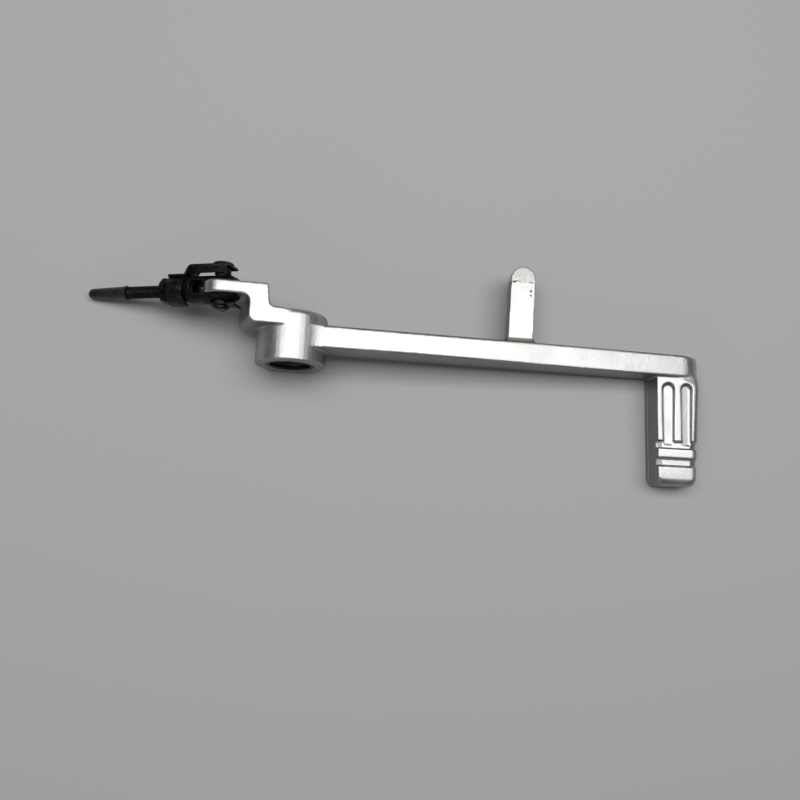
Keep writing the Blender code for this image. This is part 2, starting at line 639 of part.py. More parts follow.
def build_clip(fork_frame):
    """Spring clip: a strip beside the fork, bent in to a half-round clasp over the neck."""
    outer = -STRIP_FACE - CLIP_THICKNESS / 2
    inner = -CLASP_INNER - CLIP_THICKNESS / 2
    half_way = (outer + inner) / 2
    line = [(-CLIP_TAIL, outer), (CLIP_BEND - 0.0010, outer), (CLIP_BEND - 0.0003, outer + 0.0002),
            (CLIP_BEND + 0.0003, outer + 0.0009), (CLIP_BEND + 0.0009, half_way),
            (CLIP_BEND + 0.0014, inner - 0.0007), (CLIP_BEND + 0.0020, inner - 0.0001),
            (CLIP_BEND + 0.0028, inner), (CLASP_END, inner)]
    strip = plate("locking_clip", ribbon(line, CLIP_THICKNESS), CLIP_WIDTH)
    clip = part("locking_clip", strip, fork_frame, CLIP_STEEL)
    reach = FLANGE_REACH + CLIP_THICKNESS / 2
    flange = plate("flange", [(-CLIP_TAIL + 0.0008, outer), (CLIP_BEND - 0.0012, outer),
                              (CLIP_BEND - 0.0020, outer + reach), (-CLIP_TAIL + 0.0016, outer + reach)],
                   FLANGE_THICKNESS)
    moved(flange, Matrix.Translation((0, 0, (CLIP_WIDTH - FLANGE_THICKNESS) / 2 - 0.00005)))
    boolean(clip, cutter("flange_solid", flange, fork_frame), "UNION")
    # Clasp: half a tube over the neck and a flared lip on the free side.
    middle = CLASP_INNER + CLIP_THICKNESS / 2
    top = arc((0, 0), middle, pi, 0.10, 14)
    lip = [(middle + LIP_LENGTH * 0.30, -0.0004), (middle + LIP_LENGTH * 0.75, -0.0013)]
    outline = ribbon([(-middle, -CLIP_WIDTH / 2)] + top + lip, CLIP_THICKNESS)
    clasp = moved(plate("clasp", outline, CLASP_END - CLASP_START),
                  Matrix.Translation(((CLASP_START + CLASP_END) / 2, 0, 0))
                  @ Matrix(((0, 0, 1, 0), (1, 0, 0, 0), (0, 1, 0, 0), (0, 0, 0, 1))))
    boolean(clip, cutter("clasp_solid", clasp, fork_frame), "UNION")
    hole = moved(cylinder("rivet_hole", PIN_WAIST_RADIUS + GAP, -2 * STRIP_FACE, 0), ALONG_Y)
    boolean(clip, cutter("rivet_hole", hole, fork_frame), "DIFFERENCE")


def build_washer(fork_frame):
    """Spring washer under the retaining ring, with one leaf bent out towards the boss."""
    middle = WASHER_FACE + WASHER_THICKNESS / 2
    disc = moved(cylinder("pin_washer", WASHER_RADIUS, WASHER_FACE, WASHER_FACE + WASHER_THICKNESS),
                 ALONG_Y)
    washer = part("pin_washer", disc, fork_frame, CLIP_STEEL)
    line = [(-WASHER_RADIUS * 0.7, middle), (-WASHER_RADIUS, middle + 0.0001),
            (-LEAF_REACH, middle + LEAF_RISE)]
    leaf = plate("leaf", ribbon(line, WASHER_THICKNESS), LEAF_WIDTH)
    boolean(washer, cutter("leaf_solid", leaf, fork_frame), "UNION")
    hole = moved(cylinder("washer_hole", PIN_RADIUS + GAP, 0, 3 * WASHER_FACE), ALONG_Y)
    boolean(washer, cutter("washer_hole", hole, fork_frame), "DIFFERENCE")


def build_retaining_ring(fork_frame):
    """Open ring in the pin's groove; the gap faces the rod."""
    profile = tube_profile(GROOVE_RADIUS + GAP, RING_RADIUS, RING_FACE, RING_FACE + RING_THICKNESS)
    ring = part("retaining_ring", moved(turned("retaining_ring", profile, True, SMALL_STEPS), ALONG_Y),
                fork_frame, DARK_STEEL)
    gap = plate("ring_gap", [(0, -GROOVE_RADIUS * 0.55), (2 * RING_RADIUS, -GROOVE_RADIUS * 0.9),
                             (2 * RING_RADIUS, GROOVE_RADIUS * 0.9), (0, GROOVE_RADIUS * 0.55)],
                4 * RING_FACE)
    boolean(ring, cutter("ring_gap", moved(gap, ON_SIDE), fork_frame), "DIFFERENCE")


# ---------------------------------------------------------------- lock nut, rod and cap
def build_lock_nut(fork_frame):
    corner = NUT_ACROSS_FLATS / 2 / cos(pi / 6)
    start, end = NUT_START, NUT_START + NUT_THICKNESS
    blank = cylinder("lock_nut", corner, start, end, 6)
    nut = part("lock_nut", moved(blank, Matrix.Rotation(pi / 6, 4, "X")), fork_frame, BLACKENED)
    drop = 0.0005
    flat = NUT_ACROSS_FLATS / 2
    shape = [(0, end + GAP), (flat - drop, end + GAP), (flat, end), (corner + drop, end - 2 * drop),
             (corner + drop, start + 2 * drop), (flat, start), (flat - drop, start - GAP), (0, start - GAP)]
    chamfer = turned("nut_chamfer", shape, steps=36)
    boolean(nut, cutter("nut_chamfer", chamfer, fork_frame), "INTERSECT")
    hole = cylinder("nut_hole", ROD_RADIUS + GAP, start - 0.001, end + 0.001)
    boolean(nut, cutter("nut_hole", hole, fork_frame), "DIFFERENCE")


def build_rod(fork_frame):
    edge = 0.0004
    spigot_end = ROD_SHOULDER + SPIGOT_LENGTH
    shoulder = ROD_SHOULDER - GAP
    profile = [(0, spigot_end), (SPIGOT_RADIUS, spigot_end), (SPIGOT_RADIUS, shoulder),
               (ROD_RADIUS - edge, shoulder), (ROD_RADIUS, shoulder - edge),
               (ROD_RADIUS, ROD_THREAD_IN + edge), (ROD_RADIUS - edge, ROD_THREAD_IN), (0, ROD_THREAD_IN)]
    part("adjuster_rod", turned("adjuster_rod", profile, steps=SMALL_STEPS), fork_frame, THREADED)


def build_cap(fork_frame):
    """Nose cap: a lip at its open end, a slight taper and a round closed end."""
    nose = CAP_END - CAP_NOSE_RADIUS
    bore = SPIGOT_RADIUS + GAP
    depth = ROD_SHOULDER + SPIGOT_LENGTH + GAP
    lip = ROD_SHOULDER + CAP_LIP_LENGTH
    profile = arc((0, nose), CAP_NOSE_RADIUS, pi / 2, 0.10, 5)
    profile[0] = (0, CAP_END)
    profile += [(CAP_RADIUS, lip), (CAP_LIP_RADIUS, lip - 0.0002), (CAP_LIP_RADIUS, ROD_SHOULDER),
                (bore, ROD_SHOULDER), (bore, depth), (0, depth)]
    part("rod_cap", turned("rod_cap", profile, steps=SMALL_STEPS), fork_frame, RUBBER)


# ---------------------------------------------------------------- build
clear_scene()
PARTS = collection("gear_shift_lever")
CUTTERS = collection("cutters")

BRIGHT = material("bright_casting", (0.78, 0.78, 0.76), 0.42, 0.85)
BUSHING = material("bush_steel", (0.55, 0.55, 0.54), 0.35, 1.0)
SEALING = material("seal_rubber", (0.05, 0.05, 0.05), 0.6, 0.0)
BLACKENED = material("blackened_steel", (0.03, 0.03, 0.032), 0.45, 0.6)
DARK_STEEL = material("dark_pin_steel", (0.10, 0.10, 0.10), 0.4, 0.8)
CLIP_STEEL = material("clip_spring_steel", (0.05, 0.06, 0.055), 0.4, 0.7)
THREADED = material("brown_thread", (0.07, 0.055, 0.04), 0.5, 0.6)
RUBBER = material("black_cap", (0.02, 0.022, 0.02), 0.5, 0.0)

layout = empty("layout", None, -ORIGIN, (0, 0, 0))
pivot_axis = empty("pivot_axis", layout, (0, 0, BOSS_RADIUS), (0, 0, 0))
offset_frame = empty("offset_arm_frame", pivot_axis, (0, 0, 0), (0, -ARM_PITCH, pi))
clevis_axis = empty("clevis_axis", layout, (PIN_X, PLATE_CENTRE, PIN_Z), (0, FORK_PITCH, pi))

build_casting(pivot_axis, offset_frame)
build_pivot_pieces(pivot_axis)
build_eye_bush(offset_frame)
build_fork(clevis_axis)
build_pin(clevis_axis)
build_clip(clevis_axis)
build_washer(clevis_axis)
build_retaining_ring(clevis_axis)
build_lock_nut(clevis_axis)
build_rod(clevis_axis)
build_cap(clevis_axis)
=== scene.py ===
import json
from math import pi, radians

import bmesh
import bpy
from mathutils import Matrix, Vector


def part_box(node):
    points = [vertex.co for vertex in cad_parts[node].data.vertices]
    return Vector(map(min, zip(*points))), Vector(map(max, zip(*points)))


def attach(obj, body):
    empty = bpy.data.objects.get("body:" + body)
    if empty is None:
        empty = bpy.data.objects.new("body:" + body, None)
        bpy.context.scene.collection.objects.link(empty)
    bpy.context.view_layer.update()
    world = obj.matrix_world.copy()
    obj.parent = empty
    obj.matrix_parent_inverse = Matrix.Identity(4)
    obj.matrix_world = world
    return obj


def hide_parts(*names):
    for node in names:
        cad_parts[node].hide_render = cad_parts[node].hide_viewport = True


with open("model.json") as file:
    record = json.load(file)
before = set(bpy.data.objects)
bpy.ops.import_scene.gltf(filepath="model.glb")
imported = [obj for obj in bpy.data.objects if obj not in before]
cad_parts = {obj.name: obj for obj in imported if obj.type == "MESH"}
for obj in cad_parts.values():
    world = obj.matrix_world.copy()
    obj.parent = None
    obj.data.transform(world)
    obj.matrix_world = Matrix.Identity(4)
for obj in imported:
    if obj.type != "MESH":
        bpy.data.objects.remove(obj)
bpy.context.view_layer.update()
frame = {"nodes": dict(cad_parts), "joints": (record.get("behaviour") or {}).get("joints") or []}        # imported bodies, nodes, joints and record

joints = {joint["name"]: joint for joint in frame["joints"]}
pinCentre = Vector(joints["clevis_swing"]["pos_m"])
rodAxis = Vector(joints["rod_feed"]["axis"])
boreLow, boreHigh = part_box("front_pivot_bush")
pivotCentre = (boreLow + boreHigh) / 2
leverLow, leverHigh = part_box("lever_casting")
tabTip = leverHigh.y
pegEnd = leverLow.y
print("frame loaded:", len(frame["nodes"]), "nodes")


# camera and light

view = {
    "position": Vector((-0.031412, -0.06767, 0.35360)),
    "roll": 0.0598, "tilt": 0.1452, "turn": -0.1003,
    "lens": 36, "sensor": 36,
}

studio = {
    "floorSize": 4.0, "floorColour": (0.60, 0.60, 0.60), "floorRoughness": 0.75,
    "worldColour": (1.0, 1.0, 1.0), "worldStrength": 0.09,
    "overheadSize": (1.7, 0.55), "overheadPlace": (0.05, 0.21, 1.05), "overheadPower": 8.8,
    "fillSize": 0.5, "fillPlace": (-0.5, -1.0, 0.55), "fillPower": 0.6,
}


def makeCamera():
    data = bpy.data.cameras.new("camera")
    data.lens = view["lens"]
    data.sensor_width = view["sensor"]
    data.clip_start = 0.01
    camera = bpy.data.objects.new("camera", data)
    bpy.context.scene.collection.objects.link(camera)
    turn = (Matrix.Rotation(view["roll"], 4, "Z") @ Matrix.Rotation(view["tilt"], 4, "X")
            @ Matrix.Rotation(view["turn"], 4, "Y"))
    camera.matrix_world = Matrix.Translation(view["position"]) @ turn
    bpy.context.scene.camera = camera


def areaLight(name, width, depth, place, aim, power):
    data = bpy.data.lights.new(name, "AREA")
    data.shape = "RECTANGLE"
    data.size = width
    data.size_y = depth
    data.energy = power
    lamp = bpy.data.objects.new(name, data)
    bpy.context.scene.collection.objects.link(lamp)
    lamp.location = place
    lamp.rotation_euler = (Vector(aim) - Vector(place)).to_track_quat("-Z", "Y").to_euler()


def makeStudio():
    mesh = bpy.data.meshes.new("floor")
    work = bmesh.new()
    bmesh.ops.create_grid(work, x_segments=1, y_segments=1, size=studio["floorSize"] / 2)
    work.to_mesh(mesh)
    work.free()
    floor = bpy.data.objects.new("floor", mesh)
    bpy.context.scene.collection.objects.link(floor)
    paint = bpy.data.materials.new("floorPaint")
    paint.use_nodes = True
    shader = paint.node_tree.nodes["Principled BSDF"]
    shader.inputs["Base Color"].default_value = (*studio["floorColour"], 1)
    shader.inputs["Roughness"].default_value = studio["floorRoughness"]
    mesh.materials.append(paint)
    world = bpy.data.worlds.new("room")
    world.use_nodes = True
    sky = world.node_tree.nodes["Background"]
    sky.inputs["Color"].default_value = (*studio["worldColour"], 1)
    sky.inputs["Strength"].default_value = studio["worldStrength"]
    bpy.context.scene.world = world
    width, depth = studio["overheadSize"]
    place = studio["overheadPlace"]
    areaLight("overhead", width, depth, place, (place[0], place[1], 0), studio["overheadPower"])
    size = studio["fillSize"]
    areaLight("fill", size, size, studio["fillPlace"], (0, 0, 0), studio["fillPower"])
    bpy.context.scene.view_settings.view_transform = "Standard"


# small helpers for materials

def newFinish(name, colour, metallic, roughness):
    made = bpy.data.materials.new(name)
    made.use_nodes = True
    shader = made.node_tree.nodes["Principled BSDF"]
    shader.inputs["Base Color"].default_value = (*colour, 1)
    shader.inputs["Metallic"].default_value = metallic
    shader.inputs["Roughness"].default_value = roughness
    return made, made.node_tree, shader


def objectPlace(tree, stretch=(1, 1, 1)):
    where = tree.nodes.new("ShaderNodeTexCoord")
    mapping = tree.nodes.new("ShaderNodeMapping")
    mapping.inputs["Scale"].default_value = stretch
    tree.links.new(where.outputs["Object"], mapping.inputs["Vector"])
    return mapping.outputs["Vector"]


def noise(tree, place, size, detail=3, rough=0.55, distort=0.0):
    made = tree.nodes.new("ShaderNodeTexNoise")       # size is a grain's rough width in metres
    made.inputs["Scale"].default_value = 1 / size
    made.inputs["Detail"].default_value = detail
    made.inputs["Roughness"].default_value = rough
    made.inputs["Distortion"].default_value = distort
    tree.links.new(place, made.inputs["Vector"])
    return made.outputs["Fac"]


def ramp(tree, value, low, high, outLow=0.0, outHigh=1.0):
    made = tree.nodes.new("ShaderNodeMapRange")
    made.interpolation_type = "SMOOTHSTEP"
    for name, number in (("From Min", low), ("From Max", high), ("To Min", outLow), ("To Max", outHigh)):
        made.inputs[name].default_value = number
    tree.links.new(value, made.inputs["Value"])
    return made.outputs["Result"]


def maths(tree, how, first, second=None):
    made = tree.nodes.new("ShaderNodeMath")
    made.operation = how
    for socket, value in zip(made.inputs, (first, second)):
        if isinstance(value, (int, float)):
            socket.default_value = value
        elif value is not None:
            tree.links.new(value, socket)
    return made.outputs["Value"]


def blendColour(tree, share, first, second):
    made = tree.nodes.new("ShaderNodeMix")
    made.data_type = "RGBA"
    tree.links.new(share, made.inputs["Factor"])
    for socket, value in ((made.inputs["A"], first), (made.inputs["B"], second)):
        if isinstance(value, tuple):
            socket.default_value = (*value, 1)
        else:
            tree.links.new(value, socket)
    return made.outputs["Result"]


def bump(tree, height, strength, distance, below=None):
    made = tree.nodes.new("ShaderNodeBump")
    made.inputs["Strength"].default_value = strength
    made.inputs["Distance"].default_value = distance
    tree.links.new(height, made.inputs["Height"])
    if below is not None:
        tree.links.new(below, made.inputs["Normal"])
    return made.outputs["Normal"]


# a share that is one inside the radius round a point and nought outside
def spot(tree, place, centre, radius):
    away = tree.nodes.new("ShaderNodeVectorMath")
    away.operation = "DISTANCE"
    away.inputs[1].default_value = centre
    tree.links.new(place, away.inputs[0])
    return ramp(tree, away.outputs["Value"], radius * 0.6, radius, 1, 0)


# finishes

# places on the casting, and its small dings: two on the tab, one at its root, one on the offset plate
leverPlaces = [v.co for v in frame["nodes"]["lever_casting"].data.vertices]
tabPlaces = [place for place in leverPlaces if place.y > tabTip - 0.018]
tabTop = max(place.z for place in tabPlaces)
tabLength, armWidth = 0.0346, 0.0106
highlightLineHeight = 0.0036           # of the painted highlight line on the peg's flat face
tabRoot = tabTip - tabLength
armFront = tabRoot - armWidth
pegPlaces = [place for place in leverPlaces if place.y < armFront - 0.02]
pegLeft = min(place.x for place in pegPlaces)
tabRight = max(place.x for place in tabPlaces)
dings = [
    (Vector((tabRight - 0.0023, tabTip - 0.0112, tabTop)), 0.00080),
    (Vector((tabRight - 0.0022, tabTip - 0.0132, tabTop)), 0.00065),
    (Vector((tabRight - 0.0016, tabTip - 0.0345, tabTop + 0.0052)), 0.00110),
    (Vector((pivotCentre.x - 0.0150, pivotCentre.y + 0.0075, pivotCentre.z + 0.0125)), 0.00090),
]


casting = {
    # the grime tone also serves as painted shade in the corners and grooves
    "bright": (0.62, 0.62, 0.61), "dull": (0.53, 0.53, 0.52), "grimeAndShade": (0.17, 0.15, 0.12),
    # the root tone is painted shade at the tab's root
    # the trimmed tone is a painted highlight on the peg's flat face
    "root": (0.075, 0.068, 0.058), "trimmed": (0.80, 0.80, 0.78), "pit": (0.06, 0.055, 0.05),
    "torn": (0.07, 0.06, 0.05),
    "roughLow": 0.30, "roughHigh": 0.42,
    "grain": 0.00030, "grainHeight": 0.000035, "ripple": 0.0011, "rippleHeight": 0.00006,
    "scuffLength": 0.0070, "scuffColour": (0.60, 0.595, 0.57),
    # this tone is painted shade for the upright faces
    "side": (0.17, 0.168, 0.158), "sideDark": 0.80,
}


def castingFinish():
    made, tree, shader = newFinish("blastedCasting", casting["bright"], 0.95, 0.4)
    place = objectPlace(tree)
    cloud = noise(tree, place, 0.012, 4)
    speckle = noise(tree, place, 0.0006, 2, 0.7)
    tone = blendColour(tree, ramp(tree, cloud, 0.35, 0.7), casting["dull"], casting["bright"])
    # painted shade mixed with grime: ambient occlusion darkens the corners and grooves, in patches
    corner = tree.nodes.new("ShaderNodeAmbientOcclusion")
    corner.samples = 6
    corner.inputs["Distance"].default_value = 0.0022
    cornerShadeAndGrime = ramp(tree, corner.outputs["AO"], 0.25, 0.62, 1, 0)
    patchy = ramp(tree, noise(tree, place, 0.0035, 4, 0.7), 0.42, 0.60)
    tone = blendColour(tree, maths(tree, "MULTIPLY", cornerShadeAndGrime, maths(tree, "MULTIPLY", patchy, 0.75)),
                       tone, casting["grimeAndShade"])
    # painted shade: the upright faces are made darker than the upper ones
    facing = tree.nodes.new("ShaderNodeTexCoord")
    lean = tree.nodes.new("ShaderNodeSeparateXYZ")
    tree.links.new(facing.outputs["Normal"], lean.inputs["Vector"])
    upright = ramp(tree, lean.outputs["Z"], 0.15, 0.80, casting["sideDark"], 0)
    tone = blendColour(tree, upright, tone, casting["side"])
    axes = tree.nodes.new("ShaderNodeSeparateXYZ")
    tree.links.new(place, axes.inputs["Vector"])
    # painted shade: a dark band on the tab where it meets the arm
    tabRootShade = ramp(tree, axes.outputs["Y"], tabRoot + 0.0015, tabRoot + 0.0024, 1, 0)
    tabRootShade = maths(tree, "MULTIPLY", tabRootShade, ramp(tree, axes.outputs["Y"], tabRoot - 0.0009, tabRoot))
    tabRootShade = maths(tree, "MULTIPLY", tabRootShade,
                      ramp(tree, axes.outputs["Z"], tabTop + 0.0003, tabTop + 0.0009, 1, 0))
    offTab = maths(tree, "ABSOLUTE", maths(tree, "SUBTRACT", axes.outputs["X"], tabRight - 0.0052))
    tabRootShade = maths(tree, "MULTIPLY", tabRootShade, ramp(tree, offTab, 0.0080, 0.0095, 1, 0))
    tone = blendColour(tree, maths(tree, "MULTIPLY", tabRootShade, 0.92), tone, casting["root"])
    # a painted highlight: a thin bright line along the peg's flat face
    highlightLine = maths(tree, "ABSOLUTE", maths(tree, "SUBTRACT", axes.outputs["Z"], highlightLineHeight))
    highlightLine = maths(tree, "MULTIPLY", ramp(tree, highlightLine, 0.00010, 0.00030, 1, 0),
                  maths(tree, "LESS_THAN", axes.outputs["Y"], armFront - 0.001))
    highlightLine = maths(tree, "MULTIPLY", highlightLine, maths(tree, "LESS_THAN", axes.outputs["X"], pegLeft + 0.003))
    tone = blendColour(tree, highlightLine, tone, casting["trimmed"])
    # the stop tab's tip is scuffed down to a torn line
    wander = ramp(tree, noise(tree, place, 0.0022, 3, 0.7), 0.3, 0.7, -0.0006, 0.0006)
    along = maths(tree, "ADD", axes.outputs["Y"], wander)
    line = tabTip - casting["scuffLength"]
    tip = ramp(tree, along, line, line + 0.0005)
    mottle = ramp(tree, noise(tree, place, 0.0009, 5, 0.75), 0.40, 0.62)
    tipTone = blendColour(tree, mottle, casting["scuffColour"], casting["bright"])
    pocks = ramp(tree, noise(tree, place, 0.00045, 4, 0.75), 0.56, 0.64, 0, 0.75)
    tipTone = blendColour(tree, pocks, tipTone, casting["grimeAndShade"])
    tone = blendColour(tree, tip, tone, tipTone)
    offLine = maths(tree, "ABSOLUTE", maths(tree, "SUBTRACT", along, line), 0)
    torn = maths(tree, "MULTIPLY", ramp(tree, offLine, 0.00020, 0.00045, 1, 0),
                 ramp(tree, noise(tree, place, 0.0018, 2), 0.40, 0.50))
    tone = blendColour(tree, torn, tone, casting["torn"])
    # small dark dings
    for centre, radius in dings:
        hit = maths(tree, "MULTIPLY", spot(tree, place, centre, radius),
                    ramp(tree, speckle, 0.36, 0.46))
        tone = blendColour(tree, hit, tone, casting["pit"])
    tree.links.new(tone, shader.inputs["Base Color"])
    rough = ramp(tree, cloud, 0.3, 0.7, casting["roughLow"], casting["roughHigh"])
    rough = maths(tree, "ADD", rough, maths(tree, "MULTIPLY", tip, 0.03))
    tree.links.new(rough, shader.inputs["Roughness"])
    coarse = bump(tree, noise(tree, place, casting["ripple"], 2), 1.0, casting["rippleHeight"])
    fine = bump(tree, noise(tree, place, casting["grain"], 2, 0.6), 1.0, casting["grainHeight"], coarse)
    pitted = bump(tree, maths(tree, "MULTIPLY", tip, mottle), 0.5, 0.00006, fine)
    tree.links.new(pitted, shader.inputs["Normal"])
    return made


blackOil = {"steel": (0.018, 0.0175, 0.017), "film": (0.007, 0.007, 0.007), "bare": (0.13, 0.125, 0.11)}
springSteel = {"steel": (0.022, 0.025, 0.021), "film": (0.008, 0.009, 0.008), "bare": (0.15, 0.15, 0.13)}
barePin = {"steel": (0.045, 0.043, 0.040), "film": (0.013, 0.012, 0.011), "bare": (0.30, 0.29, 0.27)}


def oiledSteelFinish(name, steel, film, bare, grainSize=0.0005, wornEdge=0.00025):
    made, tree, shader = newFinish(name, steel, 0.75, 0.45)
    place = objectPlace(tree)
    smear = noise(tree, place, 0.0045, 5, 0.65, 0.6)
    tone = blendColour(tree, ramp(tree, smear, 0.38, 0.62), film, steel)
    # bare metal shows where edges have rubbed
    edge = tree.nodes.new("ShaderNodeBevel")
    edge.samples = 4
    edge.inputs["Radius"].default_value = wornEdge
    face = tree.nodes.new("ShaderNodeNewGeometry")
    turned = tree.nodes.new("ShaderNodeVectorMath")
    turned.operation = "DOT_PRODUCT"
    tree.links.new(edge.outputs["Normal"], turned.inputs[0])
    tree.links.new(face.outputs["Normal"], turned.inputs[1])
    rubbed = maths(tree, "MULTIPLY", ramp(tree, turned.outputs["Value"], 0.90, 0.985, 1, 0),
                   ramp(tree, noise(tree, place, 0.0012, 4, 0.7), 0.46, 0.62))
    tone = blendColour(tree, rubbed, tone, bare)
    tree.links.new(tone, shader.inputs["Base Color"])
    wet = ramp(tree, noise(tree, place, 0.0028, 3), 0.35, 0.65, 0.24, 0.58)
    tree.links.new(wet, shader.inputs["Roughness"])
    rough = bump(tree, noise(tree, place, grainSize, 4, 0.6), 1.0, 0.00007)
    tree.links.new(bump(tree, smear, 0.6, 0.00012, rough), shader.inputs["Normal"])
    return made


def threadFinish():
    made, tree, shader = newFinish("brownThread", (0.060, 0.045, 0.032), 0.7, 0.5)
    place = objectPlace(tree)
    rust = noise(tree, place, 0.0030, 5, 0.7)
    tone = blendColour(tree, ramp(tree, rust, 0.40, 0.62), (0.009, 0.0078, 0.0066), (0.028, 0.021, 0.015))
    tree.links.new(tone, shader.inputs["Base Color"])
    wet = ramp(tree, noise(tree, place, 0.0018, 3), 0.35, 0.65, 0.28, 0.62)
    tree.links.new(wet, shader.inputs["Roughness"])
    tree.links.new(bump(tree, noise(tree, place, 0.0004, 3), 1.0, 0.00006), shader.inputs["Normal"])
    return made


def capFinish():
    made, tree, shader = newFinish("blackCap", (0.022, 0.026, 0.020), 0.0, 0.4)
    place = objectPlace(tree)
    film = noise(tree, place, 0.006, 4, 0.6)
    tone = blendColour(tree, ramp(tree, film, 0.38, 0.64), (0.008, 0.0096, 0.0074), (0.021, 0.024, 0.018))
    dust = ramp(tree, noise(tree, place, 0.0011, 4, 0.8), 0.60, 0.70)
    tone = blendColour(tree, maths(tree, "MULTIPLY", dust, 0.5), tone, (0.060, 0.057, 0.045))
    tree.links.new(tone, shader.inputs["Base Color"])
    tree.links.new(ramp(tree, film, 0.3, 0.7, 0.26, 0.5), shader.inputs["Roughness"])
    tree.links.new(bump(tree, noise(tree, place, 0.0009, 3), 1.0, 0.00005), shader.inputs["Normal"])
    return made


def bearingFinish():
    made, tree, shader = newFinish("greasyBearing", (0.42, 0.40, 0.36), 1.0, 0.35)
    place = objectPlace(tree, (1, 6, 1))
    score = noise(tree, place, 0.004, 4, 0.6)
    tone = blendColour(tree, ramp(tree, score, 0.36, 0.62), (0.07, 0.062, 0.05), (0.24, 0.23, 0.205))
    tree.links.new(tone, shader.inputs["Base Color"])
    tree.links.new(ramp(tree, score, 0.3, 0.7, 0.22, 0.45), shader.inputs["Roughness"])
    tree.links.new(bump(tree, noise(tree, place, 0.0009, 2), 1.0, 0.00003), shader.inputs["Normal"])
    return made


def sealFinish():
    made, tree, shader = newFinish("sealRubber", (0.03, 0.03, 0.03), 0.0, 0.5)
    place = objectPlace(tree)
    grease = noise(tree, place, 0.0016, 4, 0.6)
    tone = blendColour(tree, ramp(tree, grease, 0.42, 0.62), (0.014, 0.013, 0.012), (0.060, 0.055, 0.047))
    tree.links.new(tone, shader.inputs["Base Color"])
    tree.links.new(ramp(tree, grease, 0.35, 0.65, 0.18, 0.55), shader.inputs["Roughness"])
    tree.links.new(bump(tree, grease, 0.8, 0.00010), shader.inputs["Normal"])
    return made


# small helpers for shapes

def mergedCopy(node):
    work = bmesh.new()
    work.from_mesh(frame["nodes"][node].data)
    bmesh.ops.remove_doubles(work, verts=work.verts, dist=1e-6)
    bmesh.ops.dissolve_limit(work, angle_limit=radians(0.6), verts=work.verts, edges=work.edges)
    mesh = bpy.data.meshes.new(node)
    work.to_mesh(mesh)
    work.free()
    return mesh


def meshPiece(name, mesh):
    made = bpy.data.objects.new(name, mesh)
    bpy.context.scene.collection.objects.link(made)
    return made


# applies the piece's modifiers and clears them
def settle(piece):
    bpy.context.view_layer.update()
    evaluated = piece.evaluated_get(bpy.context.evaluated_depsgraph_get())
    mesh = bpy.data.meshes.new_from_object(evaluated)
    piece.modifiers.clear()
    piece.data = mesh
    return piece


def dress(piece, finish, body, slotName, *replaced):
    piece.data.materials.clear()
    piece.data.materials.append(finish)
    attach(piece, body)
    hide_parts(*replaced)
    return piece


def softened(name, node, width, finish, body, slotName, steps=2):
    piece = meshPiece(name, mergedCopy(node))
    edges = piece.modifiers.new("softEdges", "BEVEL")
    edges.width = width
    edges.segments = steps
    edges.limit_method = "ANGLE"
    edges.angle_limit = radians(28)
    settle(piece)
    piece.data.shade_smooth()
    piece.data.set_sharp_from_angle(angle=radians(38))
    return dress(piece, finish, body, slotName, node)


# the lever casting

leverForm = {"voxel": 0.00034, "smoothing": 5, "keep": 0.36, "wear": 120}

def makeLever():
    finish = castingFinish()
    piece = meshPiece("lever_casting_forged", mergedCopy("lever_casting"))
    skin = piece.modifiers.new("skin", "REMESH")
    skin.mode = "VOXEL"
    skin.voxel_size = leverForm["voxel"]
    skin.adaptivity = 0
    soft = piece.modifiers.new("soft", "SMOOTH")
    soft.factor = 0.5
    soft.iterations = leverForm["smoothing"]
    settle(piece)
    # the arm's end and the peg's end are worn rounder than the rest
    worn = piece.vertex_groups.new(name="worn")
    for vertex in piece.data.vertices:
        place = vertex.co
        armEnd = (place.x - leverHigh.x + 0.0095) / 0.004 if place.y > armFront else 0
        pegTip = (pegEnd + 0.0035 - place.y) / 0.002
        weight = min(1, max(0, armEnd, pegTip))
        if weight > 0:
            worn.add([vertex.index], weight, "REPLACE")
    rounder = piece.modifiers.new("rounder", "SMOOTH")
    rounder.vertex_group = "worn"
    rounder.factor = 0.5
    rounder.iterations = leverForm["wear"]
    thin = piece.modifiers.new("thin", "DECIMATE")
    thin.ratio = leverForm["keep"]
    settle(piece)
    piece.data.shade_smooth()
    print("lever:", len(piece.data.polygons), "faces")
    return dress(piece, finish, "lever", "bright_casting", "lever_casting")


# the threaded rod, by Geometry Nodes

rodForm = {
    "radius": 0.00268, "rootDepth": 0.00055, "pitch": 0.0010, "sides": 28, "stepsPerPitch": 8,
    "spigotRadius": 0.0015, "chamfer": 0.0006,
}


